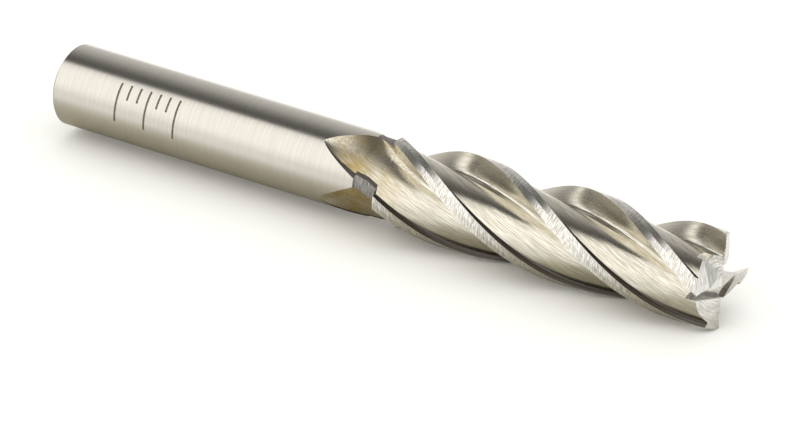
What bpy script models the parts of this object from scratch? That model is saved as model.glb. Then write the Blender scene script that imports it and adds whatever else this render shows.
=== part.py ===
"""Four-flute end mill, 14 mm long series, with a plain 12 mm shank.

The tool lies along +X: the flat back end of the shank is at the origin and the teeth are at +X.
It is two pieces of steel that are friction welded end to end: the shank and the cutting head.
Sizes are in millimetres here and become metres when a mesh is made.
"""
import math

import bmesh
import bpy
import numpy as np

MM = 0.001

# Blank: the turned outline before any flute is cut
LENGTH = 110.0
CUTTER_R = 7.0
SHANK_R = 6.0
NECK_R = 5.75
NECK_X0 = 52.4
TEETH_X0 = 56.4
STEP_RUN = 0.15
BACK_CHAMFER = 0.4
WELD_X = 42.0
WELD_GAP = 0.3

# Teeth: right-hand helix, right-hand cut
TEETH = 4
QUARTER = 2 * math.pi / TEETH
HELIX = math.tan(math.radians(30.0)) / CUTTER_R
TIP_PHASE = math.radians(173.5)
PRIMARY_WIDTH, PRIMARY_RELIEF = 1.1, math.radians(7.0)
SECONDARY_WIDTH, SECONDARY_RELIEF = 1.0, math.radians(18.0)

# Flute run-out towards the shank
RUNOUT_TIP_X = 45.8
RUNOUT_LIFT_X = 59.0
RUNOUT_MID = math.radians(41.0)
RUNOUT_HALF = math.radians(39.0)
RUNOUT_POWER = 0.8
RUNOUT_HEEL_TURN = math.radians(1.4)
RUNOUT_FLOOR = 1.15
RUNOUT_BLEND = (50.0, 63.0)

# End teeth
END_PRIMARY_SLOPE = math.tan(math.radians(10.0))
END_SECONDARY_SLOPE = math.tan(math.radians(24.0))
END_LAND = 1.1
EDGE_AHEAD = 0.5
GASH_WIDTH = (1.9, 2.8)
GASH_SLOPE_AHEAD = 0.4
GASH_START = (0.2, 1.8)
GASH_SLOPE_OUT = (0.62, 1.1)
GASH_RAKE = math.tan(math.radians(8.0))
CENTRE_OVERLAP = -0.03
CLEAR = 4.0

# Mesh density
CURVE_STEPS = 60
LAND_STEPS = 8
FLUTE_STEPS = 22
RUNOUT_STEP, NECK_STEP, TEETH_STEP = 0.7, 1.2, 2.0
SHANK_SIDES = 48
MERGE = 1e-4
SLIVER = 2e-7

STEEL = (0.58, 0.56, 0.52)
GROUND_STEEL = (0.62, 0.59, 0.53)


def clear_scene():
    """Remove every object that the file starts with."""
    for item in list(bpy.data.objects):
        bpy.data.objects.remove(item, do_unlink=True)


def steel(name, colour, roughness):
    """A plain metal material."""
    material = bpy.data.materials.new(name)
    material.use_nodes = True
    shader = material.node_tree.nodes["Principled BSDF"]
    shader.inputs["Base Color"].default_value = (*colour, 1.0)
    shader.inputs["Metallic"].default_value = 1.0
    shader.inputs["Roughness"].default_value = roughness
    return material


def bezier(p0, p1, p2, p3):
    """Points on one cubic curve, with the first point and without the last."""
    t = np.linspace(0.0, 1.0, CURVE_STEPS, endpoint=False)[:, None]
    p0, p1, p2, p3 = (np.array(p) for p in (p0, p1, p2, p3))
    return (1 - t) ** 3 * p0 + 3 * t * (1 - t) ** 2 * p1 + 3 * t ** 2 * (1 - t) * p2 + t ** 3 * p3


def land_corners():
    """Heel, relief corner and cutting edge of a tooth whose edge lies on the first axis."""
    first = PRIMARY_WIDTH * np.array([-math.sin(PRIMARY_RELIEF), -math.cos(PRIMARY_RELIEF)])
    second = SECONDARY_WIDTH * np.array([-math.sin(SECONDARY_RELIEF), -math.cos(SECONDARY_RELIEF)])
    edge = np.array([CUTTER_R, 0.0])
    return np.array([edge + first + second, edge + first, edge])


def flute_outline():
    """Full-depth flute from the cutting edge to the heel ahead: hooked rake, bulging tooth back,
    and a small step below the heel."""
    heel = land_corners()[0]
    heel_ahead = (-heel[1], heel[0])
    return np.concatenate([
        bezier((CUTTER_R, 0.0), (5.9, -0.08), (4.8, -0.15), (4.05, 0.0)),
        bezier((4.05, 0.0), (3.6, 0.1), (3.4, 0.4), (3.5, 0.8)),
        bezier((3.5, 0.8), (3.72, 1.6), (3.85, 2.4), (3.55, 3.3)),
        bezier((3.55, 3.3), (3.2, 4.2), (2.7, 4.95), (1.87, 5.62)),
        bezier((1.87, 5.62), (1.74, 5.72), (1.74, 5.8), (1.80, 5.97)),
        bezier((1.80, 5.97), (1.87, 6.15), (1.94, 6.3), heel_ahead),
        np.array([heel_ahead]),
    ])


FLUTE = flute_outline()
FLUTE_ANGLE = np.arctan2(FLUTE[:, 1], FLUTE[:, 0])
FLUTE_RADIUS = np.hypot(FLUTE[:, 0], FLUTE[:, 1])
FLUTE_ARC = np.concatenate([[0.0], np.cumsum(np.hypot(*np.diff(FLUTE, axis=0).T))])
FLUTE_T = FLUTE_ARC / FLUTE_ARC[-1]


def crossings(radius, limit):
    """Where a flute curve first drops below a radius and where it last rises through it."""
    inside = np.nonzero(radius < limit)[0]
    if len(inside) == 0:
        lowest = FLUTE_T[int(np.argmin(radius))]
        return lowest, lowest
    first, last = int(inside[0]), int(inside[-1])
    start, end = FLUTE_T[first], FLUTE_T[last]
    if first > 0:
        share = (radius[first - 1] - limit) / (radius[first - 1] - radius[first])
        start = FLUTE_T[first - 1] + share * (FLUTE_T[first] - FLUTE_T[first - 1])
    if last < len(radius) - 1:
        share = (limit - radius[last]) / (radius[last + 1] - radius[last])
        end = FLUTE_T[last] + share * (FLUTE_T[last + 1] - FLUTE_T[last])
    return start, end


def edge_angle(x):
    """Angle of tooth 0's cutting edge at a station."""
    return TIP_PHASE + HELIX * (x - LENGTH)


SHANK_CROSS = np.interp(crossings(FLUTE_RADIUS, SHANK_R), FLUTE_T, FLUTE_ANGLE)


def runout_sides(x):
    """Both sides of the flute at the shank's surface, measured from the edge's angle at x."""
    rake_side, heel_side = SHANK_CROSS
    if x >= TEETH_X0:
        return rake_side, heel_side
    middle = edge_angle(NECK_X0) + RUNOUT_MID - edge_angle(x)
    share = max(0.0, (x - RUNOUT_TIP_X) / (NECK_X0 - RUNOUT_TIP_X))
    half = RUNOUT_HALF * share ** RUNOUT_POWER
    if share == 0.0:
        return middle, middle
    neck_heel = middle + RUNOUT_HALF + RUNOUT_HEEL_TURN * (x - NECK_X0)
    low = max(rake_side, middle - half)
    high = max(heel_side, min(middle + half, neck_heel))
    return min(low, middle), max(high, middle)


def flute_at(x):
    """Flute curve at a station: lifted, narrowed and flattened where it runs out into the shank."""
    reach = (RUNOUT_LIFT_X - x) / (RUNOUT_LIFT_X - RUNOUT_TIP_X)
    depth = 1.0 - min(1.0, max(0.0, reach)) ** 2
    blend = np.interp(x, RUNOUT_BLEND, (0.0, 1.0))
    blend = blend * blend * (3.0 - 2.0 * blend)
    across = np.interp(FLUTE_ANGLE, SHANK_CROSS, (-1.0, 1.0))
    floor = SHANK_R - RUNOUT_FLOOR * (1.0 - across ** 2)
    deep = floor + (FLUTE_RADIUS - floor) * blend
    radius = np.where(FLUTE_RADIUS < SHANK_R, SHANK_R - (SHANK_R - deep) * depth, FLUTE_RADIUS)
    rake_side, heel_side = runout_sides(x)
    narrowing = (heel_side - rake_side) / (SHANK_CROSS[1] - SHANK_CROSS[0])
    return rake_side + (FLUTE_ANGLE - SHANK_CROSS[0]) * narrowing, radius


def land_radius(angle):
    """Radius of the two relief facets at angles behind the cutting edge."""
    corners = land_corners()
    angles = np.arctan2(corners[:, 1], corners[:, 0])
    out = np.full(len(angle), CUTTER_R)
    for p, q, low, high in zip(corners, corners[1:], angles, angles[1:]):
        along = q - p
        across = p[0] * along[1] - p[1] * along[0]
        hit = across / (np.cos(angle) * along[1] - np.sin(angle) * along[0])
        out = np.where((angle >= low - 1e-9) & (angle <= high + 1e-9), hit, out)
    return out


def ring(x, blank_radius):
    """Closed outline of the head at one station, for a blank of the given radius."""
    x_shape = max(x, RUNOUT_TIP_X)
    angle, radius = flute_at(x_shape)
    start, end = crossings(radius, blank_radius)
    if x <= RUNOUT_TIP_X:
        end = start
    if blank_radius >= CUTTER_R:
        start, end = 0.0, 1.0
    inner = np.linspace(start, end, FLUTE_STEPS + 2)
    flute_a = np.interp(inner, FLUTE_T, angle)
    flute_r = np.minimum(np.interp(inner, FLUTE_T, radius), blank_radius)
    land_a = np.linspace(flute_a[-1] - QUARTER, flute_a[0], LAND_STEPS)
    land_r = np.minimum(land_radius(land_a), blank_radius)
    quarter_a = np.concatenate([land_a, flute_a[1:-1]])
    quarter_r = np.concatenate([land_r, flute_r[1:-1]])
    turn = edge_angle(x_shape)
    points = []
    for k in range(TEETH):
        for a, r in zip(quarter_a + turn + k * QUARTER, quarter_r):
            points.append((x - WELD_X, r * math.cos(a), r * math.sin(a)))
    return points


def stations():
    """Places along the head with the blank's radius at each of them."""
    out = [(WELD_X + WELD_GAP, SHANK_R), (RUNOUT_TIP_X, SHANK_R)]
    for a, b, radius, step in (
            (RUNOUT_TIP_X, NECK_X0, SHANK_R, RUNOUT_STEP),
            (NECK_X0 + STEP_RUN, TEETH_X0 - STEP_RUN, NECK_R, NECK_STEP),
            (TEETH_X0, LENGTH, CUTTER_R, TEETH_STEP)):
        count = max(1, round((b - a) / step))
        places = np.linspace(a, b, count + 1)
        out += [(float(x), radius) for x in places if x > out[-1][0] + 1e-6]
    return out


def mesh_object(name, bm, material, x=0.0):
    """Turn a bmesh in millimetres into an object in metres with its origin at x."""
    bmesh.ops.scale(bm, vec=(MM, MM, MM), verts=bm.verts)
    bmesh.ops.recalc_face_normals(bm, faces=bm.faces)
    mesh = bpy.data.meshes.new(name)
    bm.to_mesh(mesh)
    bm.free()
    item = bpy.data.objects.new(name, mesh)
    item.location.x = x * MM
    bpy.context.collection.objects.link(item)
    if material:
        mesh.materials.append(material)
        mesh.shade_smooth()
        mesh.set_sharp_from_angle(angle=math.radians(30.0))
    return item


def loft(rings):
    """Skin a row of outlines with equal counts, and close both ends."""
    bm = bmesh.new()
    rows = [[bm.verts.new(p) for p in points] for points in rings]
    for below, above in zip(rows, rows[1:]):
        count = len(below)
        for i in range(count):
            j = (i + 1) % count
            bm.faces.new((below[i], below[j], above[j], above[i]))
    bm.faces.new(rows[0])
    bm.faces.new(reversed(rows[-1]))
    bmesh.ops.remove_doubles(bm, verts=bm.verts, dist=MERGE)
    return bm


def prism(near_end, far_end):
    """Closed solid between two outlines with equal counts."""
    bm = bmesh.new()
    rows = [[bm.verts.new(p) for p in outline] for outline in (near_end, far_end)]
    bm.faces.new(rows[0])
    bm.faces.new(reversed(rows[1]))
    count = len(near_end)
    for i in range(count):
        j = (i + 1) % count
        bm.faces.new((rows[0][i], rows[0][j], rows[1][j], rows[1][i]))
    return bm


def tooth_point(k, along, ahead, depth):
    """Head-space place of a point along tooth k's radius, ahead of it and behind the end."""
    angle = TIP_PHASE + k * QUARTER
    y = along * math.cos(angle) - ahead * math.sin(angle)
    z = along * math.sin(angle) + ahead * math.cos(angle)
    return (LENGTH - WELD_X - depth, y, z)


def edge_line(along):
    """How far the end cutting edge runs ahead of the radius."""
    return EDGE_AHEAD * (1.0 - along / CUTTER_R)


def relief_outline(k, along):
    """Primary and secondary relief behind an end tooth, and the space above them."""
    front, far = 0.6, -CUTTER_R - 1.5
    corner_depth = END_LAND * END_PRIMARY_SLOPE
    far_depth = corner_depth + (-END_LAND - far) * END_SECONDARY_SLOPE
    profile = (
        (front, -CLEAR), (front, -front * END_PRIMARY_SLOPE), (-END_LAND, corner_depth),
        (far, far_depth), (far, -CLEAR))
    return [tooth_point(k, along, edge_line(along) + y, d) for y, d in profile]


def gash_outline(k, along):
    """Groove in front of an end tooth: a leaning wall at the tooth and a sloping floor."""
    slope = GASH_SLOPE_OUT[k % 2]
    floor_at_wall = (along - GASH_START[k % 2]) * slope / (1.0 + GASH_SLOPE_AHEAD * GASH_RAKE)
    width = GASH_WIDTH[k % 2]
    floor_far = (along - GASH_START[k % 2]) * slope + width * GASH_SLOPE_AHEAD
    profile = (
        (GASH_RAKE * CLEAR, -CLEAR), (-GASH_RAKE * floor_at_wall, floor_at_wall),
        (width, floor_far), (width, -CLEAR))
    return [tooth_point(k, along, edge_line(along) + y, d) for y, d in profile]


def cut(target, near_end, far_end):
    """Subtract the solid between two outlines from the target and merge the slivers left behind."""
    cutter = mesh_object("end_cutter", prism(near_end, far_end), None, WELD_X)
    modifier = target.modifiers.new("end_cut", "BOOLEAN")
    modifier.operation = "DIFFERENCE"
    modifier.solver = "EXACT"
    modifier.object = cutter
    graph = bpy.context.evaluated_depsgraph_get()
    result = bpy.data.meshes.new_from_object(target.evaluated_get(graph))
    target.modifiers.clear()
    bm = bmesh.new()
    bm.from_mesh(result)
    bmesh.ops.remove_doubles(bm, verts=bm.verts, dist=SLIVER)
    bmesh.ops.dissolve_degenerate(bm, edges=bm.edges, dist=SLIVER / 2)
    bm.to_mesh(result)
    bm.free()
    target.data = result
    bpy.data.objects.remove(cutter, do_unlink=True)


def build_shank(material):
    """Plain round bar with a small chamfer at its back end."""
    outline = ((0.0, SHANK_R - BACK_CHAMFER), (BACK_CHAMFER, SHANK_R), (WELD_X, SHANK_R))
    rings = []
    for x, radius in outline:
        turns = [edge_angle(RUNOUT_TIP_X) + 2 * math.pi * i / SHANK_SIDES for i in range(SHANK_SIDES)]
        rings.append([(x, radius * math.cos(a), radius * math.sin(a)) for a in turns])
    return mesh_object("shank", loft(rings), material)


def build_head(material):
    """Neck, four helical flutes with ground lands, and the end teeth."""
    head = mesh_object("cutting_head", loft([ring(x, r) for x, r in stations()]), material, WELD_X)
    outside = CUTTER_R + 1.0
    for k in range(TEETH):
        inside = CENTRE_OVERLAP if k % 2 == 0 else EDGE_AHEAD
        cut(head, relief_outline(k, inside), relief_outline(k, outside))
    for k in range(TEETH):
        inside = GASH_START[k % 2] - 1.2
        cut(head, gash_outline(k, inside), gash_outline(k, outside))
    head.data.name = "cutting_head"
    head.data.set_sharp_from_angle(angle=math.radians(30.0))


clear_scene()
build_shank(steel("shank_steel", STEEL, 0.3))
build_head(steel("ground_steel", GROUND_STEEL, 0.25))
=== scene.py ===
# %% [markdown]
# # A four-flute end mill
#
# An end mill is a bar of high-speed steel that a grinder has shaped three times: the shank is
# ground round, the flutes are ground along a helix, and the teeth get small relief facets so that
# only their edges touch the work. This lesson makes it the same way, from a few drawing sizes.
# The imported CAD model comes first, because it fixes the place and the size of everything.

# %% Load the fixed frame and keep its box
import math

import bmesh
import bpy
import numpy as np
from mathutils import Matrix, Vector


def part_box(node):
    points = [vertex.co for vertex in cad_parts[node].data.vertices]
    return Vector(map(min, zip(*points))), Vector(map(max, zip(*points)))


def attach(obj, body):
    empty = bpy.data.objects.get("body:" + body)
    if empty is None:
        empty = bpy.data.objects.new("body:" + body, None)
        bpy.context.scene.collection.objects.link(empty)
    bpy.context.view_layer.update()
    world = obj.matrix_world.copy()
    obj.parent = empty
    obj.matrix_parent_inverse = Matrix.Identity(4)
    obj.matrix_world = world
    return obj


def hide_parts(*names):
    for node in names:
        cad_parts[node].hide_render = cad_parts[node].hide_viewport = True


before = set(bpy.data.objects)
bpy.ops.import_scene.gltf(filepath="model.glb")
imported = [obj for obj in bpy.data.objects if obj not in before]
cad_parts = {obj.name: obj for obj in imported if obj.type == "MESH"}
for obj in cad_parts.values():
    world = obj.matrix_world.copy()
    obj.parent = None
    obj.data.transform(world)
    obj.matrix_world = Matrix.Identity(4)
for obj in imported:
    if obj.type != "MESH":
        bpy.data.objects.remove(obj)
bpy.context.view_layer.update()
shank_low, shank_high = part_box("shank")
head_low, head_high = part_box("cutting_head")

# %% [markdown]
# ## Drawing sizes
#
# A toolmaker's drawing gives lengths in millimetres, so this script does too and multiplies by
# `MM` only when a mesh is made. The overall length, the shank's radius and the weld's place are
# read from the frame. The cutting radius, the neck and the start of the teeth are set here.

# %% Sizes of the blank
MM = 0.001
LENGTH = head_high[0] / MM
CUTTER_R = 7.0
SHANK_R = round((shank_high[2] - shank_low[2]) / 2 / MM, 1)
NECK_R = 5.75
NECK_X0 = 52.4
TEETH_X0 = 56.4
STEP_RUN = 0.15
BACK_CHAMFER = 0.4
WELD_X = (shank_high[0] + head_low[0]) / 2 / MM
print("length %.1f, shank radius %.2f, weld at %.2f mm" % (LENGTH, SHANK_R, WELD_X))

# %% Sizes of the teeth
TEETH = 4
QUARTER = 2 * math.pi / TEETH
HELIX = math.tan(math.radians(30.0)) / CUTTER_R
TIP_PHASE = math.radians(173.5)
PRIMARY_WIDTH, PRIMARY_RELIEF = 1.1, math.radians(7.0)
SECONDARY_WIDTH, SECONDARY_RELIEF = 1.0, math.radians(18.0)
print("one turn of the helix takes %.1f mm" % (2 * math.pi / HELIX))

# %% [markdown]
# ## Camera
#
# The camera stands far away with a long lens, as product cameras do, because a long lens keeps
# the two ends of a slim tool close to the same scale. Its direction is set by two angles, how far
# round and how far up it stands, and the matrix is built from the three directions they give.

# %% Camera
CAMERA_TURN, CAMERA_RISE = math.radians(33.75), math.radians(27.58)
CAMERA_PLACE = Vector((0.5844, -0.7900, 0.4903))
CAMERA_LENS = 340.7


def add_camera():
    """Long lens that looks down on the tool from its front right."""
    back = Vector((
        math.sin(CAMERA_TURN) * math.cos(CAMERA_RISE),
        -math.cos(CAMERA_TURN) * math.cos(CAMERA_RISE),
        math.sin(CAMERA_RISE)))
    right = Vector((math.cos(CAMERA_TURN), math.sin(CAMERA_TURN), 0.0))
    up = back.cross(right)
    axes = Matrix((right, up, back)).transposed()
    data = bpy.data.cameras.new("camera")
    data.lens = CAMERA_LENS
    data.sensor_width = 36.0
    data.clip_start, data.clip_end = 0.05, 20.0
    camera = bpy.data.objects.new("camera", data)
    camera.matrix_world = Matrix.Translation(CAMERA_PLACE) @ axes.to_4x4()
    bpy.context.collection.objects.link(camera)
    bpy.context.scene.camera = camera
    return camera


camera = add_camera()
print("camera distance %.2f m" % CAMERA_PLACE.length)

# %% [markdown]
# ## Studio
#
# Bare steel has almost no colour of its own: it shows the room. A cylinder turns every direction
# of the room into one line along its length, so the room is designed as bands. In front of the
# tool is a wide bright screen, behind it is a wall that is pale at the bottom and dark overhead.
# The world shader draws these bands for mirror rays, from each ray's direction. All other rays
# meet one even tent of light, so the white floor stays white. For mirror rays the floor carries
# painted shade: close to the tool its colour is mixed to a darker, warmer tone that stands in for
# the table's own shade, and this gives the lower half of each flute its khaki tone.

# %% World bands
# Share of the half circle from the back horizon (0) over the top to the front horizon (1)
ROOM_BANDS = (
    (0.00, 0.80), (0.12, 0.74), (0.24, 0.56), (0.34, 0.31), (0.42, 0.15), (0.51, 0.06),
    (0.56, 1.35), (0.66, 1.56), (0.88, 1.56), (0.97, 1.30), (1.00, 1.20))
ROOM_TINT = (1.0, 0.985, 0.95)
TENT_LIGHT = (1.22, 1.21, 1.15)


def add_room():
    """Bright screen in front, dark ceiling, and a wall that grows pale towards the floor."""
    world = bpy.data.worlds.new("room")
    bpy.context.scene.world = world
    world.use_nodes = True
    tree = world.node_tree
    tree.nodes.clear()
    place = tree.nodes.new("ShaderNodeTexCoord")
    split = tree.nodes.new("ShaderNodeSeparateXYZ")
    height = tree.nodes.new("ShaderNodeMath")
    height.operation = "MAXIMUM"
    height.inputs[1].default_value = 0.0
    turn = tree.nodes.new("ShaderNodeMath")
    turn.operation = "ARCTAN2"
    share = tree.nodes.new("ShaderNodeMath")
    share.operation = "DIVIDE"
    share.inputs[1].default_value = math.pi
    ramp = tree.nodes.new("ShaderNodeValToRGB")
    while len(ramp.color_ramp.elements) < len(ROOM_BANDS):
        ramp.color_ramp.elements.new(0.5)
    for element, (position, light) in zip(ramp.color_ramp.elements, ROOM_BANDS):
        element.position = position
        element.color = tuple(light * tint for tint in ROOM_TINT) + (1.0,)
    bands = tree.nodes.new("ShaderNodeBackground")
    tent = tree.nodes.new("ShaderNodeBackground")
    tent.inputs["Color"].default_value = (*TENT_LIGHT, 1.0)
    path = tree.nodes.new("ShaderNodeLightPath")
    choose = tree.nodes.new("ShaderNodeMixShader")
    output = tree.nodes.new("ShaderNodeOutputWorld")
    tree.links.new(place.outputs["Generated"], split.inputs[0])
    tree.links.new(split.outputs["Z"], height.inputs[0])
    tree.links.new(height.outputs[0], turn.inputs[0])
    tree.links.new(split.outputs["Y"], turn.inputs[1])
    tree.links.new(turn.outputs[0], share.inputs[0])
    tree.links.new(share.outputs[0], ramp.inputs[0])
    tree.links.new(ramp.outputs[0], bands.inputs["Color"])
    tree.links.new(path.outputs["Is Glossy Ray"], choose.inputs[0])
    tree.links.new(tent.outputs[0], choose.inputs[1])
    tree.links.new(bands.outputs[0], choose.inputs[2])
    tree.links.new(choose.outputs[0], output.inputs["Surface"])
    world.cycles.sampling_method = "NONE"
    return world


add_room()
bpy.context.scene.view_settings.view_transform = "Standard"
print("room bands:", len(ROOM_BANDS))

# %% Floor
FLOOR_Z = -CUTTER_R * MM
FLOOR_HALF = 3.0
FLOOR_WHITE = (0.95, 0.95, 0.95, 1.0)
# Distance from the tool over which the painted shade fades, and where it ends along the tool
FLOOR_SHADE = (0.005, 0.030)
FLOOR_SHADE_END = 0.096
# Darker, warmer floor colour painted near the tool and seen only in mirror rays: painted shade
FLOOR_PAINTED_SHADE = (0.50, 0.475, 0.395, 1.0)


def add_floor():
    """Wide white table top that touches the lowest point of the teeth, with painted shade near the tool
    for mirror rays.
    """
    mesh = bpy.data.meshes.new("floor")
    signs = ((-1, -1), (1, -1), (1, 1), (-1, 1))
    corners = [(x * FLOOR_HALF, y * FLOOR_HALF, FLOOR_Z) for x, y in signs]
    mesh.from_pydata(corners, [], [(0, 1, 2, 3)])
    floor = bpy.data.objects.new("floor", mesh)
    bpy.context.collection.objects.link(floor)
    material = bpy.data.materials.new("floor_paper")
    material.use_nodes = True
    shader = material.node_tree.nodes["Principled BSDF"]
    shader.inputs["Roughness"].default_value = 0.9
    shader.inputs["Specular IOR Level"].default_value = 0.1
    tree = material.node_tree
    place = tree.nodes.new("ShaderNodeTexCoord")
    split = tree.nodes.new("ShaderNodeSeparateXYZ")
    beyond = tree.nodes.new("ShaderNodeMath")
    beyond.operation = "SUBTRACT"
    beyond.use_clamp = True
    beyond.inputs[1].default_value = FLOOR_SHADE_END
    offset = tree.nodes.new("ShaderNodeCombineXYZ")
    away = tree.nodes.new("ShaderNodeVectorMath")
    away.operation = "LENGTH"
    near = tree.nodes.new("ShaderNodeMapRange")
    near.interpolation_type = "SMOOTHSTEP"
    near.inputs["From Min"].default_value, near.inputs["From Max"].default_value = FLOOR_SHADE
    near.inputs["To Min"].default_value, near.inputs["To Max"].default_value = 1.0, 0.0
    # Painted shade: mirror rays see the floor mixed towards the darker colour close to the tool
    path = tree.nodes.new("ShaderNodeLightPath")
    painted_shade_share = tree.nodes.new("ShaderNodeMath")
    painted_shade_share.operation = "MULTIPLY"
    paper = tree.nodes.new("ShaderNodeMix")
    paper.data_type = "RGBA"
    paper.inputs["A"].default_value = FLOOR_WHITE
    paper.inputs["B"].default_value = FLOOR_PAINTED_SHADE
    tree.links.new(place.outputs["Object"], split.inputs[0])
    tree.links.new(split.outputs["X"], beyond.inputs[0])
    tree.links.new(beyond.outputs[0], offset.inputs["X"])
    tree.links.new(split.outputs["Y"], offset.inputs["Y"])
    tree.links.new(offset.outputs[0], away.inputs[0])
    tree.links.new(away.outputs["Value"], near.inputs["Value"])
    tree.links.new(near.outputs[0], painted_shade_share.inputs[0])
    tree.links.new(path.outputs["Is Glossy Ray"], painted_shade_share.inputs[1])
    tree.links.new(painted_shade_share.outputs[0], paper.inputs["Factor"])
    tree.links.new(paper.outputs["Result"], shader.inputs["Base Color"])
    mesh.materials.append(material)
    return floor


add_floor()
print("floor height %.4f m" % FLOOR_Z)

# %% [markdown]
# ## One tooth in section
#
# Cut across the tool and every quarter looks the same. Starting at the heel of a tooth, the
# outline crosses the ground land (two flat relief facets), turns at the cutting edge, dives down
# the hooked rake face and rounds the bottom of the flute. From there it follows the bulging back
# of the tooth ahead, which keeps that tooth stiff, and ends with a small step below its heel.
# The flute is one chain of cubic curves, so a few given points give a smooth wheel shape.

# %% Ground land
def land_corners():
    """Heel, relief corner and cutting edge of a tooth whose edge lies on the first axis."""
    first = PRIMARY_WIDTH * np.array([-math.sin(PRIMARY_RELIEF), -math.cos(PRIMARY_RELIEF)])
    second = SECONDARY_WIDTH * np.array([-math.sin(SECONDARY_RELIEF), -math.cos(SECONDARY_RELIEF)])
    edge = np.array([CUTTER_R, 0.0])
    return np.array([edge + first + second, edge + first, edge])


LAND = land_corners()
LAND_ANGLES = np.arctan2(LAND[:, 1], LAND[:, 0])
print("the heel is at radius %.2f mm" % math.hypot(*LAND[0]))

# %% Flute curve
CURVE_STEPS = 60


def bezier(p0, p1, p2, p3):
    """Points on one cubic curve, with the first point and without the last."""
    t = np.linspace(0.0, 1.0, CURVE_STEPS, endpoint=False)[:, None]
    p0, p1, p2, p3 = (np.array(p) for p in (p0, p1, p2, p3))
    return (1 - t) ** 3 * p0 + 3 * t * (1 - t) ** 2 * p1 + 3 * t ** 2 * (1 - t) * p2 + t ** 3 * p3


def flute_outline():
    """Full-depth flute from the cutting edge to the heel of the tooth ahead."""
    heel_ahead = (-LAND[0, 1], LAND[0, 0])
    return np.concatenate([
        bezier((CUTTER_R, 0.0), (5.9, -0.08), (4.8, -0.15), (4.05, 0.0)),
        bezier((4.05, 0.0), (3.6, 0.1), (3.4, 0.4), (3.5, 0.8)),
        bezier((3.5, 0.8), (3.72, 1.6), (3.85, 2.4), (3.55, 3.3)),
        bezier((3.55, 3.3), (3.2, 4.2), (2.7, 4.95), (1.87, 5.62)),
        bezier((1.87, 5.62), (1.74, 5.72), (1.74, 5.8), (1.80, 5.97)),
        bezier((1.80, 5.97), (1.87, 6.15), (1.94, 6.3), heel_ahead),
        np.array([heel_ahead]),
    ])


FLUTE = flute_outline()
FLUTE_ANGLE = np.arctan2(FLUTE[:, 1], FLUTE[:, 0])
FLUTE_RADIUS = np.hypot(FLUTE[:, 0], FLUTE[:, 1])
FLUTE_ARC = np.concatenate([[0.0], np.cumsum(np.hypot(*np.diff(FLUTE, axis=0).T))])
FLUTE_T = FLUTE_ARC / FLUTE_ARC[-1]
print("core radius %.2f mm, flute %.1f mm across" % (FLUTE_RADIUS.min(), FLUTE_ARC[-1]))

# %% [markdown]
# ## Where the flutes run out
#
# The grinding wheel lifts out of the bar near the shank, and its last touch leaves a leaf-shaped
# hollow that closes to a point. Three things change along that stretch: the flute gets shallower,
# its two sides draw together, and its section flattens from the full flute to a plain dish. Each
# is a short formula of the place along the tool.

# %% Run-out shape
RUNOUT_TIP_X = 45.8
RUNOUT_LIFT_X = 59.0
RUNOUT_MID = math.radians(41.0)
RUNOUT_HALF = math.radians(39.0)
RUNOUT_POWER = 0.8
RUNOUT_HEEL_TURN = math.radians(1.4)
RUNOUT_FLOOR = 1.15
RUNOUT_BLEND = (50.0, 63.0)


def edge_angle(x):
    """Angle of tooth 0's cutting edge at a station."""
    return TIP_PHASE + HELIX * (x - LENGTH)


def crossings(radius, limit):
    """Where a flute curve first drops below a radius and where it last rises through it."""
    inside = np.nonzero(radius < limit)[0]
    if len(inside) == 0:
        lowest = FLUTE_T[int(np.argmin(radius))]
        return lowest, lowest
    first, last = int(inside[0]), int(inside[-1])
    start, end = FLUTE_T[first], FLUTE_T[last]
    if first > 0:
        share = (radius[first - 1] - limit) / (radius[first - 1] - radius[first])
        start = FLUTE_T[first - 1] + share * (FLUTE_T[first] - FLUTE_T[first - 1])
    if last < len(radius) - 1:
        share = (limit - radius[last]) / (radius[last + 1] - radius[last])
        end = FLUTE_T[last] + share * (FLUTE_T[last + 1] - FLUTE_T[last])
    return start, end


SHANK_CROSS = np.interp(crossings(FLUTE_RADIUS, SHANK_R), FLUTE_T, FLUTE_ANGLE)
print("flute sides at the shank's radius:", np.degrees(SHANK_CROSS).round(1))


# %% Flute at any station
def runout_sides(x):
    """Both sides of the flute at the shank's surface, measured from the edge's angle at x."""
    rake_side, heel_side = SHANK_CROSS
    if x >= TEETH_X0:
        return rake_side, heel_side
    middle = edge_angle(NECK_X0) + RUNOUT_MID - edge_angle(x)
    share = max(0.0, (x - RUNOUT_TIP_X) / (NECK_X0 - RUNOUT_TIP_X))
    half = RUNOUT_HALF * share ** RUNOUT_POWER
    if share == 0.0:
        return middle, middle
    neck_heel = middle + RUNOUT_HALF + RUNOUT_HEEL_TURN * (x - NECK_X0)
    low = max(rake_side, middle - half)
    high = max(heel_side, min(middle + half, neck_heel))
    return min(low, middle), max(high, middle)


def flute_at(x):
    """Flute curve at a station: lifted, narrowed and flattened where it runs out into the shank."""
    reach = (RUNOUT_LIFT_X - x) / (RUNOUT_LIFT_X - RUNOUT_TIP_X)
    depth = 1.0 - min(1.0, max(0.0, reach)) ** 2
    blend = np.interp(x, RUNOUT_BLEND, (0.0, 1.0))
    blend = blend * blend * (3.0 - 2.0 * blend)
    across = np.interp(FLUTE_ANGLE, SHANK_CROSS, (-1.0, 1.0))
    floor = SHANK_R - RUNOUT_FLOOR * (1.0 - across ** 2)
    deep = floor + (FLUTE_RADIUS - floor) * blend
    radius = np.where(FLUTE_RADIUS < SHANK_R, SHANK_R - (SHANK_R - deep) * depth, FLUTE_RADIUS)
    rake_side, heel_side = runout_sides(x)
    narrowing = (heel_side - rake_side) / (SHANK_CROSS[1] - SHANK_CROSS[0])
    return rake_side + (FLUTE_ANGLE - SHANK_CROSS[0]) * narrowing, radius


print("flute width at x=48:", np.degrees(np.ptp(runout_sides(48.0))).round(1), "degrees")

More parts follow.
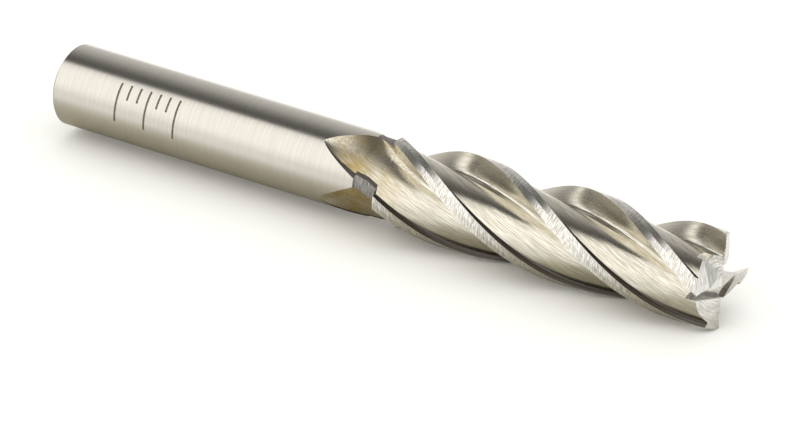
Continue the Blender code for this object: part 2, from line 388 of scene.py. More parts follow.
# %% [markdown]
# ## Skin for the cutting head
#
# The head is lofted: a closed outline is worked out every few tenths of a millimetre, and
# neighbouring outlines are joined with quads. Because each outline has the same columns in the
# same order, a column is always the same feature, such as the cutting edge, so materials, sharp
# edges and texture places can be given by column. That is hard to do after a Boolean.

# %% Outline at one station
LAND_STEPS = 25
FLUTE_STEPS = 87
COLUMNS = LAND_STEPS + FLUTE_STEPS
CORNER_SHARE = float(np.interp(LAND_ANGLES[1], (LAND_ANGLES[0], LAND_ANGLES[2]), (0.0, 1.0)))


def land_radius(angle):
    """Radius of the two relief facets at angles behind the cutting edge."""
    out = np.full(len(angle), CUTTER_R)
    for p, q, low, high in zip(LAND, LAND[1:], LAND_ANGLES, LAND_ANGLES[1:]):
        along = q - p
        across = p[0] * along[1] - p[1] * along[0]
        hit = across / (np.cos(angle) * along[1] - np.sin(angle) * along[0])
        out = np.where((angle >= low - 1e-9) & (angle <= high + 1e-9), hit, out)
    return out


def land_shares():
    """Places across the land from heel to edge, with one exactly on the relief corner."""
    half = LAND_STEPS // 2
    first = CORNER_SHARE * np.linspace(0.0, 1.0, half, endpoint=False)
    second = np.linspace(CORNER_SHARE, 1.0, LAND_STEPS - half)
    return np.concatenate([first, second])


LAND_SHARE = land_shares()


def ring(x, blank_radius):
    """Outline points of the head at one station."""
    shape_x = max(x, RUNOUT_TIP_X)
    angle, radius = flute_at(shape_x)
    start, end = crossings(radius, blank_radius)
    if x <= RUNOUT_TIP_X:
        end = start
    if blank_radius >= CUTTER_R:
        start, end = 0.0, 1.0
    inner = np.linspace(start, end, FLUTE_STEPS + 2)
    flute_a = np.interp(inner, FLUTE_T, angle)
    flute_r = np.minimum(np.interp(inner, FLUTE_T, radius), blank_radius)
    heel_a = flute_a[-1] - QUARTER
    land_a = heel_a + (flute_a[0] - heel_a) * LAND_SHARE
    land_r = np.minimum(land_radius(land_a), blank_radius)
    quarter_a = np.concatenate([land_a, flute_a[1:-1]])
    quarter_r = np.concatenate([land_r, flute_r[1:-1]])
    turns = edge_angle(shape_x) + QUARTER * np.arange(TEETH)[:, None] + quarter_a[None, :]
    turns = turns.ravel()
    radii = np.tile(quarter_r, TEETH)
    return np.stack([np.full(len(turns), x), radii * np.cos(turns), radii * np.sin(turns)], axis=1)


print("columns round the head:", TEETH * COLUMNS)


# %% Stations along the head
RUNOUT_STEP, NECK_STEP, TEETH_STEP = 0.12, 0.2, 0.4
TIP_LEAD = 0.05
NOSE_LENGTH = 9.0
SAME_PLACE = 1e-6


def stations():
    """Places along the head with the blank's radius, closer together where the shape changes."""
    out = [(WELD_X, SHANK_R), (RUNOUT_TIP_X - TIP_LEAD, SHANK_R), (RUNOUT_TIP_X, SHANK_R)]
    for a, b, radius, step in (
            (RUNOUT_TIP_X, NECK_X0, SHANK_R, RUNOUT_STEP),
            (NECK_X0 + STEP_RUN, TEETH_X0 - STEP_RUN, NECK_R, NECK_STEP),
            (TEETH_X0, LENGTH, CUTTER_R, TEETH_STEP)):
        places = np.linspace(a, b, round((b - a) / step) + 1)
        out += [(float(x), radius) for x in places if x > out[-1][0] + SAME_PLACE]
    return out


STATIONS = stations()
NOSE_X = min((x for x, radius in STATIONS), key=lambda x: abs(x - (LENGTH - NOSE_LENGTH)))
print("stations:", len(STATIONS), "the nose starts at %.2f mm" % NOSE_X)

# %% [markdown]
# ## Zones of finish
#
# Each kind of grinding leaves its own surface, so the head has a material slot for each zone:
# the round shank, the dull turned neck, the flutes, the satin rake faces, whose lighter tint is
# painted light, the lands and the end facets. One more slot paints shade: a near-black band in the
# step below each heel. A face's slot follows from its column and its station, which is why the
# loft keeps its columns in order.
#
# The last stretch before the tip is a separate body for now, the nose, because the end teeth are
# cut with Booleans, and a small body keeps those cuts quick and clean.

# %% Build the head's mesh
SHANK_SLOT, NECK_SLOT, FLUTE_SLOT, LAND_SLOT, END_SLOT, HEEL_SHADE_SLOT, RAKE_SLOT = range(7)
WELD_DIST = 1e-6
# Width of the near-black painted shade band below each heel, in mm
HEEL_BAND = 0.95
HEEL_COLUMNS = round(HEEL_BAND / FLUTE_ARC[-1] * (FLUTE_STEPS + 1))
RAKE_BAND = 2.9
RAKE_COLUMNS = round(RAKE_BAND / FLUTE_ARC[-1] * (FLUTE_STEPS + 1))


def zone(column, x):
    """Material slot of the face that starts at a column and a station."""
    # The last flute columns, in the step below the heel, get the painted shade
    if column >= COLUMNS - HEEL_COLUMNS and x > RUNOUT_TIP_X:
        return HEEL_SHADE_SLOT
    if LAND_STEPS - 1 <= column < LAND_STEPS - 1 + RAKE_COLUMNS and x > TEETH_X0:
        return RAKE_SLOT
    if column >= LAND_STEPS - 1:
        return FLUTE_SLOT
    if x < NECK_X0:
        return SHANK_SLOT
    return NECK_SLOT if x < TEETH_X0 - SAME_PLACE else LAND_SLOT


def loft(name, rows_wanted):
    """Object lofted through some of the stations, closed at both ends."""
    places = np.concatenate([ring(x, radius) for x, radius in rows_wanted]) * MM
    around = TEETH * COLUMNS
    faces, slots = [], []
    for row in range(len(rows_wanted) - 1):
        for i in range(around):
            j = (i + 1) % around
            a, b = row * around, (row + 1) * around
            faces.append((a + i, a + j, b + j, b + i))
            slots.append(zone(i % COLUMNS, rows_wanted[row][0]))
    last = (len(rows_wanted) - 1) * around
    faces.append(tuple(range(around - 1, -1, -1)))
    faces.append(tuple(range(last, last + around)))
    slots += [SHANK_SLOT, END_SLOT]
    mesh = bpy.data.meshes.new(name)
    mesh.from_pydata(places.tolist(), [], faces)
    mesh.polygons.foreach_set("material_index", slots)
    bm = bmesh.new()
    bm.from_mesh(mesh)
    bmesh.ops.remove_doubles(bm, verts=bm.verts, dist=WELD_DIST)
    bmesh.ops.recalc_face_normals(bm, faces=bm.faces)
    bm.to_mesh(mesh)
    bm.free()
    piece = bpy.data.objects.new(name, mesh)
    bpy.context.collection.objects.link(piece)
    return piece


cutting_head = loft("cutting_head_steel", [row for row in STATIONS if row[0] <= NOSE_X])
nose = loft("nose", [row for row in STATIONS if row[0] >= NOSE_X])
print("faces:", len(cutting_head.data.polygons), "on the body,", len(nose.data.polygons), "at the tip")

# %% [markdown]
# ## End teeth
#
# The end of the tool is ground with a cup wheel. Behind each edge the wheel leaves a primary and
# a secondary relief facet, and in front of it a narrow gash lets chips out. Two opposite teeth
# reach the centre, so the tool can plunge; the other two stop short. These are flat cuts into a
# curved body, which is exactly what a Boolean with a simple prism does well. The cuts are applied
# one at a time, all reliefs before all gashes, and the nose is welded back to the head after them.

# %% End grinding sizes
END_PRIMARY_SLOPE = math.tan(math.radians(10.0))
END_SECONDARY_SLOPE = math.tan(math.radians(24.0))
END_LAND = 1.1
EDGE_AHEAD = 0.5
GASH_WIDTH = (1.9, 3.0)
GASH_SLOPE_AHEAD = (0.4, 0.15)
GASH_START = (0.2, 0.6)
GASH_SLOPE_OUT = (0.62, 0.62)
GASH_RAKE = math.tan(math.radians(8.0))
GASH_LEAD = 1.2
RELIEF_FRONT = 0.6
RELIEF_FAR = -CUTTER_R - 1.5
CENTRE_OVERLAP = -0.03
CLEAR = 4.0
OUTSIDE = CUTTER_R + 1.0


def tooth_point(k, along, ahead, depth):
    """Place of a point along tooth k's radius, ahead of it and behind the end of the tool."""
    angle = TIP_PHASE + k * QUARTER
    y = along * math.cos(angle) - ahead * math.sin(angle)
    z = along * math.sin(angle) + ahead * math.cos(angle)
    return ((LENGTH - depth) * MM, y * MM, z * MM)


def edge_line(along):
    """How far the end cutting edge runs ahead of the radius."""
    return EDGE_AHEAD * (1.0 - along / CUTTER_R)


def relief_outline(k, along):
    """Primary and secondary relief behind an end tooth, and the space above them."""
    corner_depth = END_LAND * END_PRIMARY_SLOPE
    far_depth = corner_depth + (-END_LAND - RELIEF_FAR) * END_SECONDARY_SLOPE
    profile = (
        (RELIEF_FRONT, -CLEAR), (RELIEF_FRONT, -RELIEF_FRONT * END_PRIMARY_SLOPE),
        (-END_LAND, corner_depth), (RELIEF_FAR, far_depth), (RELIEF_FAR, -CLEAR))
    return [tooth_point(k, along, edge_line(along) + y, d) for y, d in profile]


def gash_outline(k, along):
    """Groove in front of an end tooth: a leaning wall at the tooth and a sloping floor."""
    width, ahead = GASH_WIDTH[k % 2], GASH_SLOPE_AHEAD[k % 2]
    depth = (along - GASH_START[k % 2]) * GASH_SLOPE_OUT[k % 2]
    floor_at_wall = depth / (1.0 + ahead * GASH_RAKE)
    floor_far = depth + width * ahead
    profile = (
        (GASH_RAKE * CLEAR, -CLEAR), (-GASH_RAKE * floor_at_wall, floor_at_wall),
        (width, floor_far), (width, -CLEAR))
    return [tooth_point(k, along, edge_line(along) + y, d) for y, d in profile]


print("end relief: %.2f mm deep at the facet corner" % (END_LAND * END_PRIMARY_SLOPE))


# %% Grind the end
SLIVER = 2e-7


def prism(name, near_end, far_end):
    """Closed solid between two outlines with equal counts, as a cutter."""
    bm = bmesh.new()
    rows = [[bm.verts.new(p) for p in outline] for outline in (near_end, far_end)]
    bm.faces.new(rows[0])
    bm.faces.new(reversed(rows[1]))
    count = len(near_end)
    for i in range(count):
        j = (i + 1) % count
        bm.faces.new((rows[0][i], rows[0][j], rows[1][j], rows[1][i]))
    bmesh.ops.recalc_face_normals(bm, faces=bm.faces)
    for face in bm.faces:
        face.material_index = END_SLOT
    mesh = bpy.data.meshes.new(name)
    bm.to_mesh(mesh)
    bm.free()
    cutter = bpy.data.objects.new(name, mesh)
    bpy.context.collection.objects.link(cutter)
    return cutter


def grind(target, cutters):
    """Subtract the cutters one by one, merging the tiny slivers that each cut leaves."""
    for cutter in cutters:
        modifier = target.modifiers.new(cutter.name, "BOOLEAN")
        modifier.operation = "DIFFERENCE"
        modifier.solver = "EXACT"
        modifier.object = cutter
        graph = bpy.context.evaluated_depsgraph_get()
        result = bpy.data.meshes.new_from_object(target.evaluated_get(graph))
        target.modifiers.clear()
        bm = bmesh.new()
        bm.from_mesh(result)
        bmesh.ops.remove_doubles(bm, verts=bm.verts, dist=SLIVER)
        bmesh.ops.dissolve_degenerate(bm, edges=bm.edges, dist=SLIVER / 2)
        bm.to_mesh(result)
        bm.free()
        target.data = result
        bpy.data.objects.remove(cutter, do_unlink=True)


def end_cutters():
    """One relief and one gash cutter for each end tooth."""
    reliefs, gashes = [], []
    for k in range(TEETH):
        inside = CENTRE_OVERLAP if k % 2 == 0 else EDGE_AHEAD
        reliefs.append(prism("relief_%d" % k, relief_outline(k, inside), relief_outline(k, OUTSIDE)))
        inside = GASH_START[k % 2] - GASH_LEAD
        gashes.append(prism("gash_%d" % k, gash_outline(k, inside), gash_outline(k, OUTSIDE)))
    return reliefs + gashes


grind(nose, end_cutters())
print("faces after the end is ground:", len(nose.data.polygons))


# %% Join the nose to the head
def join_nose(body, tip, x):
    """Drop the two caps where the parts meet and weld the matching rings."""
    bm = bmesh.new()
    bm.from_mesh(body.data)
    bm.from_mesh(tip.data)
    caps = [f for f in bm.faces if all(abs(v.co.x - x) < SLIVER / 2 for v in f.verts)]
    bmesh.ops.delete(bm, geom=caps, context="FACES")
    seam = [v for v in bm.verts if abs(v.co.x - x) < SLIVER / 2]
    bmesh.ops.remove_doubles(bm, verts=seam, dist=WELD_DIST)
    bmesh.ops.recalc_face_normals(bm, faces=bm.faces)
    bm.to_mesh(body.data)
    bm.free()
    bpy.data.objects.remove(tip, do_unlink=True)


join_nose(cutting_head, nose, NOSE_X * MM)
print("faces on the whole head:", len(cutting_head.data.polygons))

# %% [markdown]
# ## Crisp edges
#
# A cutting tool is all about its edges, so smooth shading must stop at each of them. An edge is
# marked sharp where two zones meet or where the surface turns by more than `CREASE`, and within
# a land a much smaller turn counts, because the two relief facets differ by only eleven degrees.

# %% Shade smooth and mark the sharp edges
CREASE = math.radians(24.0)
LAND_CREASE = math.radians(6.0)


def mark_edges(mesh):
    """Smooth faces with sharp edges at zone borders, strong turns and the relief corner."""
    bm = bmesh.new()
    bm.from_mesh(mesh)
    bmesh.ops.remove_doubles(bm, verts=bm.verts, dist=SLIVER)
    for edge in bm.edges:
        if len(edge.link_faces) != 2:
            continue
        one, other = edge.link_faces
        turn = one.normal.angle(other.normal, 0.0)
        slots = {one.material_index, other.material_index}
        limit = LAND_CREASE if slots == {LAND_SLOT} or slots == {END_SLOT} else CREASE
        edge.smooth = turn < (limit if len(slots) == 1 else LAND_CREASE)
    for face in bm.faces:
        face.smooth = True
    open_edges = sum(not edge.is_manifold for edge in bm.edges)
    bm.to_mesh(mesh)
    bm.free()
    return open_edges


print("open edges on the head:", mark_edges(cutting_head.data))

# %% [markdown]
# ## Shank
#
# The shank is a plain ground cylinder with a small chamfer at the back, so a collet can slide
# over it. It is a lathe shape: one profile turned round the axis. The faced end keeps a small
# dimple in the middle, where the grinder's centre held the bar.

# %% Turn the shank
SHANK_SIDES = 180
CENTRE_R, CENTRE_DEPTH = 1.0, 0.9
SEAM = 0.002


def turned(name, profile, sides):
    """Closed lathe solid about the tool axis from a profile that starts and ends on the axis."""
    bm = bmesh.new()
    rows = []
    for x, r in profile:
        if r == 0.0:
            rows.append([bm.verts.new((x * MM, 0.0, 0.0))])
            continue
        angles = [2 * math.pi * i / sides for i in range(sides)]
        places = [(x * MM, r * MM * math.cos(a), r * MM * math.sin(a)) for a in angles]
        rows.append([bm.verts.new(p) for p in places])
    for low, high in zip(rows, rows[1:]):
        for i in range(sides):
            j = (i + 1) % sides
            corners = [low[i % len(low)], low[j % len(low)], high[j % len(high)], high[i % len(high)]]
            bm.faces.new(list(dict.fromkeys(corners)))
    bmesh.ops.recalc_face_normals(bm, faces=bm.faces)
    mesh = bpy.data.meshes.new(name)
    bm.to_mesh(mesh)
    bm.free()
    piece = bpy.data.objects.new(name, mesh)
    bpy.context.collection.objects.link(piece)
    return piece


shank_profile = [
    (CENTRE_DEPTH, 0.0), (0.0, CENTRE_R), (0.0, SHANK_R - BACK_CHAMFER),
    (BACK_CHAMFER, SHANK_R), (WELD_X - SEAM, SHANK_R), (WELD_X - SEAM, 0.0)]
shank = turned("shank_steel", shank_profile, SHANK_SIDES)
mark_edges(shank.data)
print("shank faces:", len(shank.data.polygons))

# %% [markdown]
# ## Marking
#
# A real shank carries a few etched characters. Here a band of plain tick marks stands for them:
# short dark strips that lie on the steel and follow its curve, with no letters at all.

# %% Etched ticks
MARK_LIFT = 0.004
MARK_THICK = 0.012
TICK_WIDTH = 0.34
TICK_TOP = 128.0
TICK_STEP = 2.0
# Place along the tool and last angle of each tick
MARK_TICKS = (
    (11.2, 184.0), (12.9, 150.0), (14.6, 150.0), (16.3, 184.0),
    (18.0, 150.0), (19.7, 150.0), (21.4, 184.0))


def tick_strips(name, ticks):
    """Thin curved plates that follow the shank."""
    bm = bmesh.new()
    for x, last in ticks:
        near, far = x - TICK_WIDTH / 2, x + TICK_WIDTH / 2
        count = round((last - TICK_TOP) / TICK_STEP)
        rows = []
        for i in range(count + 1):
            a = math.radians(TICK_TOP + (last - TICK_TOP) * i / count)
            corners = (
                (near, SHANK_R - MARK_THICK), (near, SHANK_R + MARK_LIFT),
                (far, SHANK_R + MARK_LIFT), (far, SHANK_R - MARK_THICK))
            places = [(px * MM, r * MM * math.cos(a), r * MM * math.sin(a)) for px, r in corners]
            rows.append([bm.verts.new(p) for p in places])
        for low, high in zip(rows, rows[1:]):
            for i in range(4):
                bm.faces.new((low[i], low[(i + 1) % 4], high[(i + 1) % 4], high[i]))
        bm.faces.new(rows[0])
        bm.faces.new(reversed(rows[-1]))
    bmesh.ops.recalc_face_normals(bm, faces=bm.faces)
    mesh = bpy.data.meshes.new(name)
    bm.to_mesh(mesh)
    bm.free()
    piece = bpy.data.objects.new(name, mesh)
    bpy.context.collection.objects.link(piece)
    return piece


marking = tick_strips("etched_ticks", MARK_TICKS)
mark_edges(marking.data)
print("ticks:", len(MARK_TICKS))

# %% [markdown]
# ## Grinding marks
#
# Every finish on this tool is a direction of fine scratches: round the shank, along the flutes,
# across the lands. One shader group makes those. It turns the object's coordinates back by the
# helix, so that a flute lies straight, then stretches a noise along or across the tool. A second
# group draws its noise out in rings, for the end facets, which the wheel crosses from the side.

# %% Shader group for grinding marks
def add_node(tree, kind, **settings):
    """New shader node with its properties set."""
    node = tree.nodes.new(kind)
    for key, value in settings.items():
        setattr(node, key, value)
    return node


def new_group(name, inputs, outputs):
    """Node group with named float sockets: inputs are (name, default)."""
    tree = bpy.data.node_groups.new(name, "ShaderNodeTree")
    for socket, default in inputs:
        item = tree.interface.new_socket(name=socket, in_out="INPUT", socket_type="NodeSocketFloat")
        item.default_value = default
    for socket in outputs:
        tree.interface.new_socket(name=socket, in_out="OUTPUT", socket_type="NodeSocketFloat")
    return tree, tree.nodes.new("NodeGroupInput"), tree.nodes.new("NodeGroupOutput")


def grinding_group():
    """Stretched noise in coordinates that are turned back by a twist along the tool."""
    tree, given, out = new_group(
        "grinding_marks",
        (("Twist", 0.0), ("Along", 100.0), ("Across", 4000.0), ("Low", 0.35), ("High", 0.65)),
        ("Mask", "Height"))
    place = add_node(tree, "ShaderNodeTexCoord")
    split = add_node(tree, "ShaderNodeSeparateXYZ")
    angle = add_node(tree, "ShaderNodeMath", operation="MULTIPLY")
    turn = add_node(tree, "ShaderNodeVectorRotate", rotation_type="X_AXIS", invert=True)
    stretch = add_node(tree, "ShaderNodeVectorMath", operation="MULTIPLY")
    scale = add_node(tree, "ShaderNodeCombineXYZ")
    noise = add_node(tree, "ShaderNodeTexNoise")
    noise.inputs["Scale"].default_value = 1.0
    noise.inputs["Detail"].default_value = 3.0
    noise.inputs["Roughness"].default_value = 0.6
    mask = add_node(tree, "ShaderNodeMapRange", clamp=True)
    tree.links.new(place.outputs["Object"], split.inputs[0])
    tree.links.new(split.outputs["X"], angle.inputs[0])
    tree.links.new(given.outputs["Twist"], angle.inputs[1])
    tree.links.new(place.outputs["Object"], turn.inputs["Vector"])
    tree.links.new(angle.outputs[0], turn.inputs["Angle"])
    tree.links.new(given.outputs["Along"], scale.inputs["X"])
    tree.links.new(given.outputs["Across"], scale.inputs["Y"])
    tree.links.new(given.outputs["Across"], scale.inputs["Z"])
    tree.links.new(turn.outputs[0], stretch.inputs[0])
    tree.links.new(scale.outputs[0], stretch.inputs[1])
    tree.links.new(stretch.outputs[0], noise.inputs["Vector"])
    tree.links.new(noise.outputs["Fac"], mask.inputs["Value"])
    tree.links.new(given.outputs["Low"], mask.inputs["From Min"])
    tree.links.new(given.outputs["High"], mask.inputs["From Max"])
    tree.links.new(mask.outputs[0], out.inputs["Mask"])
    tree.links.new(noise.outputs["Fac"], out.inputs["Height"])
    return tree


def facing_group():
    """Noise drawn out round the tool's axis, as a wheel leaves it across the end facets."""
    tree, given, out = new_group(
        "facing_marks", (("Rings", 6000.0), ("Patches", 500.0), ("Low", 0.35), ("High", 0.65)),
        ("Mask", "Height"))
    place = add_node(tree, "ShaderNodeTexCoord")
    split = add_node(tree, "ShaderNodeSeparateXYZ")
    flat = add_node(tree, "ShaderNodeCombineXYZ")
    radius = add_node(tree, "ShaderNodeVectorMath", operation="LENGTH")
    rings = add_node(tree, "ShaderNodeMath", operation="MULTIPLY")
    patches = add_node(tree, "ShaderNodeVectorMath", operation="SCALE")
    spread = add_node(tree, "ShaderNodeCombineXYZ")
    both = add_node(tree, "ShaderNodeVectorMath", operation="ADD")
    noise = add_node(tree, "ShaderNodeTexNoise")
    noise.inputs["Scale"].default_value = 1.0
    mask = add_node(tree, "ShaderNodeMapRange", clamp=True)
    tree.links.new(place.outputs["Object"], split.inputs[0])
    tree.links.new(split.outputs["Y"], flat.inputs["Y"])
    tree.links.new(split.outputs["Z"], flat.inputs["Z"])
    tree.links.new(flat.outputs[0], radius.inputs[0])
    tree.links.new(radius.outputs["Value"], rings.inputs[0])
    tree.links.new(given.outputs["Rings"], rings.inputs[1])
    tree.links.new(flat.outputs[0], patches.inputs[0])
    tree.links.new(given.outputs["Patches"], patches.inputs["Scale"])
    tree.links.new(rings.outputs[0], spread.inputs["X"])
    tree.links.new(patches.outputs[0], both.inputs[0])
    tree.links.new(spread.outputs[0], both.inputs[1])
    tree.links.new(both.outputs[0], noise.inputs["Vector"])
    tree.links.new(noise.outputs["Fac"], mask.inputs["Value"])
    tree.links.new(given.outputs["Low"], mask.inputs["From Min"])
    tree.links.new(given.outputs["High"], mask.inputs["From Max"])
    tree.links.new(mask.outputs[0], out.inputs["Mask"])
    tree.links.new(noise.outputs["Fac"], out.inputs["Height"])
    return tree


GRINDING = grinding_group()
FACING = facing_group()
print("groups:", GRINDING.name, FACING.name)

# %% [markdown]
# ## Heat tint
#
# Where the wheel lifts out of the steel it rubs more than it cuts, and the run-out turns straw
# yellow and duller. The group gives a mask that rises and falls along the tool, broken up by a
# soft noise, because the tint is never even.

# %% Shader group for heat tint
def heat_group():
    """Mask of the straw colour where the wheel lifted out of the steel and ran hot."""
    tree, given, out = new_group(
        "heat_tint", (("Start", 0.0455), ("Middle", 0.050), ("End", 0.064), ("Patches", 260.0)), ("Mask",))
    place = add_node(tree, "ShaderNodeTexCoord")
    split = add_node(tree, "ShaderNodeSeparateXYZ")
    rise = add_node(tree, "ShaderNodeMapRange", interpolation_type="SMOOTHSTEP")
    fall = add_node(tree, "ShaderNodeMapRange", interpolation_type="SMOOTHSTEP")
    fall.inputs["To Min"].default_value = 1.0
    fall.inputs["To Max"].default_value = 0.0
    patches = add_node(tree, "ShaderNodeTexNoise")
    both = add_node(tree, "ShaderNodeMath", operation="MULTIPLY")
    mottled = add_node(tree, "ShaderNodeMath", operation="MULTIPLY", use_clamp=True)
    spread = add_node(tree, "ShaderNodeMapRange")
    spread.inputs["From Min"].default_value = 0.35
    spread.inputs["From Max"].default_value = 0.6
    spread.inputs["To Min"].default_value = 0.3
    tree.links.new(place.outputs["Object"], split.inputs[0])
    for ramp, low, high in ((rise, "Start", "Middle"), (fall, "Middle", "End")):
        tree.links.new(split.outputs["X"], ramp.inputs["Value"])
        tree.links.new(given.outputs[low], ramp.inputs["From Min"])
        tree.links.new(given.outputs[high], ramp.inputs["From Max"])
    tree.links.new(place.outputs["Object"], patches.inputs["Vector"])
    tree.links.new(given.outputs["Patches"], patches.inputs["Scale"])
    tree.links.new(rise.outputs[0], both.inputs[0])
    tree.links.new(fall.outputs[0], both.inputs[1])
    tree.links.new(patches.outputs["Fac"], spread.inputs["Value"])
    tree.links.new(both.outputs[0], mottled.inputs[0])
    tree.links.new(spread.outputs[0], mottled.inputs[1])
    tree.links.new(mottled.outputs[0], out.inputs["Mask"])
    return tree


HEAT = heat_group()
print("group:", HEAT.name)

# %% [markdown]
# ## Painted edge highlights
#
# Grinding leaves a hair-fine burr and a little rounding on each edge, and that line shows bright.
# Here the bright line is a painted highlight: the Bevel node knows the rounded normal near an edge,
# so comparing it with the real normal gives a mask that is zero on flat steel and one on the line,
# and each finish mixes a near-white colour into it.

# %% Shader group for painted edge highlights
def edge_highlight_group():
    """Mask of the painted highlight line along sharp edges."""
    tree, given, out = new_group("edge_line", (("Radius", 0.0001), ("Gain", 3.0)), ("Mask",))
    bevel = add_node(tree, "ShaderNodeBevel", samples=4)
    geometry = add_node(tree, "ShaderNodeNewGeometry")
    dot = add_node(tree, "ShaderNodeVectorMath", operation="DOT_PRODUCT")
    turned_away = add_node(tree, "ShaderNodeMath", operation="SUBTRACT")
    turned_away.inputs[0].default_value = 1.0
    gain = add_node(tree, "ShaderNodeMath", operation="MULTIPLY", use_clamp=True)
    tree.links.new(given.outputs["Radius"], bevel.inputs["Radius"])
    tree.links.new(bevel.outputs[0], dot.inputs[0])
    tree.links.new(geometry.outputs["Normal"], dot.inputs[1])
    tree.links.new(dot.outputs["Value"], turned_away.inputs[1])
    tree.links.new(turned_away.outputs[0], gain.inputs[0])
    tree.links.new(given.outputs["Gain"], gain.inputs[1])
    tree.links.new(gain.outputs[0], out.inputs["Mask"])
    return tree


EDGE_HIGHLIGHT = edge_highlight_group()
print("group:", EDGE_HIGHLIGHT.name)


# %% [markdown]
# ## Steel finishes
#
# All zones are the same steel, so one function builds every finish and only the numbers change:
# the two tints that the marks mix, the range of roughness, the direction of the marks and how
# deep they are. The tints are warm, because high-speed steel is a little yellow.

# %% Steel material
HELIX_PER_M = HELIX / MM
# Painted highlight colour mixed into the finishes along sharp edges
EDGE_HIGHLIGHT_COLOUR = (0.93, 0.92, 0.9, 1.0)
STRAW_COLOUR = (0.70, 0.57, 0.30, 1.0)
STRAW_ROUGHNESS = 0.4


def along_tool(twist, along, across):
    """Marks that follow the tool's length or its helix."""
    return GRINDING, {"Twist": twist, "Along": along, "Across": across}


def round_end(rings, patches):
    """Marks that run across the end facets."""
    return FACING, {"Rings": rings, "Patches": patches}


def steel_finish(name, light, dark, rough, pattern, depth, contrast=(0.35, 0.65), edge=0.6, heat=0.0):
    """Ground steel with directed marks in colour, roughness and relief, and a painted highlight along the
    edges.
    """
    material = bpy.data.materials.new(name)
    material.use_nodes = True
    tree = material.node_tree
    shader = tree.nodes["Principled BSDF"]
    shader.inputs["Metallic"].default_value = 1.0
    group, values = pattern
    marks = add_node(tree, "ShaderNodeGroup", node_tree=group)
    for socket, value in {**values, "Low": contrast[0], "High": contrast[1]}.items():
        marks.inputs[socket].default_value = value
    tint = add_node(tree, "ShaderNodeMix", data_type="RGBA")
    tint.inputs["A"].default_value = (*dark, 1.0)
    tint.inputs["B"].default_value = (*light, 1.0)
    tree.links.new(marks.outputs["Mask"], tint.inputs["Factor"])
    # Painted highlight: near-white colour mixed in along the edges, scaled by edge
    line = add_node(tree, "ShaderNodeGroup", node_tree=EDGE_HIGHLIGHT)
    edge_highlight_share = add_node(tree, "ShaderNodeMath", operation="MULTIPLY")
    edge_highlight_share.inputs[1].default_value = edge
    edge_highlight_tint = add_node(tree, "ShaderNodeMix", data_type="RGBA")
    edge_highlight_tint.inputs["B"].default_value = EDGE_HIGHLIGHT_COLOUR
    tree.links.new(line.outputs["Mask"], edge_highlight_share.inputs[0])
    tree.links.new(edge_highlight_share.outputs[0], edge_highlight_tint.inputs["Factor"])
    if heat > 0.0:
        hot = add_node(tree, "ShaderNodeGroup", node_tree=HEAT)
        hot_share = add_node(tree, "ShaderNodeMath", operation="MULTIPLY")
        hot_share.inputs[1].default_value = heat
        hot_tint = add_node(tree, "ShaderNodeMix", data_type="RGBA", blend_type="MULTIPLY")
        hot_tint.inputs["B"].default_value = STRAW_COLOUR
        tree.links.new(hot.outputs["Mask"], hot_share.inputs[0])
        tree.links.new(hot_share.outputs[0], hot_tint.inputs["Factor"])
        tree.links.new(tint.outputs["Result"], hot_tint.inputs["A"])
        tree.links.new(hot_tint.outputs["Result"], edge_highlight_tint.inputs["A"])
    else:
        tree.links.new(tint.outputs["Result"], edge_highlight_tint.inputs["A"])
    tree.links.new(edge_highlight_tint.outputs["Result"], shader.inputs["Base Color"])
    polish = add_node(tree, "ShaderNodeMapRange")
    polish.inputs["To Min"].default_value = rough[1]
    polish.inputs["To Max"].default_value = rough[0]
    tree.links.new(marks.outputs["Mask"], polish.inputs["Value"])
    if heat > 0.0:
        dulled = add_node(tree, "ShaderNodeMix", data_type="FLOAT")
        dulled.inputs["B"].default_value = STRAW_ROUGHNESS
        tree.links.new(hot.outputs["Mask"], dulled.inputs["Factor"])
        tree.links.new(polish.outputs[0], dulled.inputs["A"])
        tree.links.new(dulled.outputs["Result"], shader.inputs["Roughness"])
    else:
        tree.links.new(polish.outputs[0], shader.inputs["Roughness"])
    bump = add_node(tree, "ShaderNodeBump")
    bump.inputs["Distance"].default_value = depth
    bump.inputs["Strength"].default_value = 1.0
    tree.links.new(marks.outputs["Height"], bump.inputs["Height"])
    tree.links.new(bump.outputs[0], shader.inputs["Normal"])
    return material


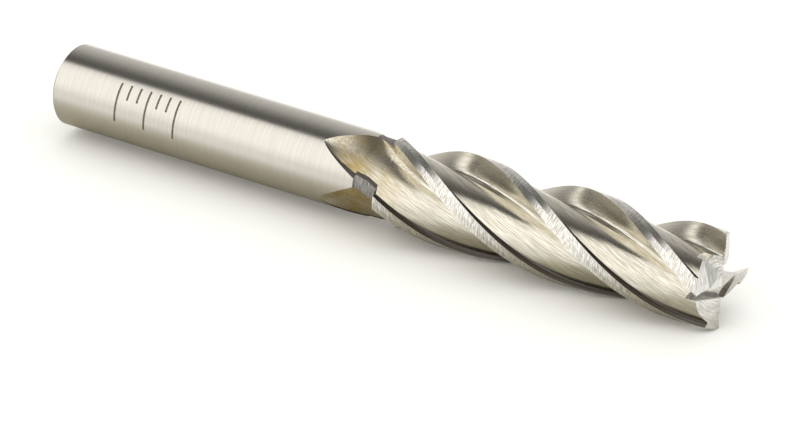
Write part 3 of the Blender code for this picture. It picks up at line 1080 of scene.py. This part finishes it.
shank_finish = steel_finish(
    "shank_ground", (0.62, 0.595, 0.55), (0.55, 0.525, 0.48), (0.18, 0.24),
    along_tool(0.0, 14000.0, 120.0), 2e-6, edge=0.4)
neck_finish = steel_finish(
    "neck_turned", (0.36, 0.35, 0.33), (0.16, 0.155, 0.15), (0.42, 0.6),
    along_tool(0.0, 7000.0, 900.0), 8e-6, edge=0.2)
flute_finish = steel_finish(
    "flute_ground", (0.70, 0.67, 0.59), (0.43, 0.40, 0.33), (0.14, 0.28),
    along_tool(HELIX_PER_M, 420.0, 9000.0), 1.0e-5, (0.38, 0.6), heat=1.0)
# Rake faces: the satin roughness is their own finish; their lighter tint than the flutes is painted light
# that offsets the painted floor shade they reflect
rake_painted_light_finish = steel_finish(
    "rake_satin_painted_light", (0.82, 0.78, 0.68), (0.68, 0.64, 0.54), (0.21, 0.29),
    along_tool(HELIX_PER_M, 90.0, 3000.0), 2e-6)
# Painted shade: near-black colour in the step below each heel
heel_shade_finish = steel_finish(
    "heel_painted_shade", (0.10, 0.09, 0.08), (0.04, 0.036, 0.03), (0.3, 0.4),
    along_tool(HELIX_PER_M, 60.0, 4200.0), 1e-6)
land_finish = steel_finish(
    "land_ground", (0.80, 0.78, 0.74), (0.40, 0.39, 0.36), (0.22, 0.36),
    along_tool(0.0, 9000.0, 1100.0), 5e-6, (0.38, 0.6))
end_finish = steel_finish(
    "end_ground", (0.82, 0.81, 0.79), (0.56, 0.55, 0.53), (0.16, 0.28),
    round_end(5000.0, 700.0), 4e-6)
mark_finish = steel_finish(
    "etched_dark", (0.24, 0.21, 0.17), (0.12, 0.10, 0.08), (0.5, 0.7),
    along_tool(0.0, 6000.0, 6000.0), 2e-6, edge=0.0)
print("finish for the marking:", mark_finish.name)

# %% Give the pieces their finishes
head_finishes = (
    shank_finish, neck_finish, flute_finish, land_finish, end_finish, heel_shade_finish, rake_painted_light_finish)
for material in head_finishes:
    cutting_head.data.materials.append(material)
shank.data.materials.append(shank_finish)
marking.data.materials.append(mark_finish)
print("slots on the head:", len(cutting_head.data.materials))

# %% [markdown]
# ## Tie the pieces to the body
#
# The three pieces ride on the one body of the tool. The lofted meshes stand for the plain CAD
# solids, which stay hidden for collision.

# %% Tie the pieces to the frame
for piece in (shank, cutting_head, marking):
    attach(piece, "root")
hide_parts("shank")
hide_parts("cutting_head")
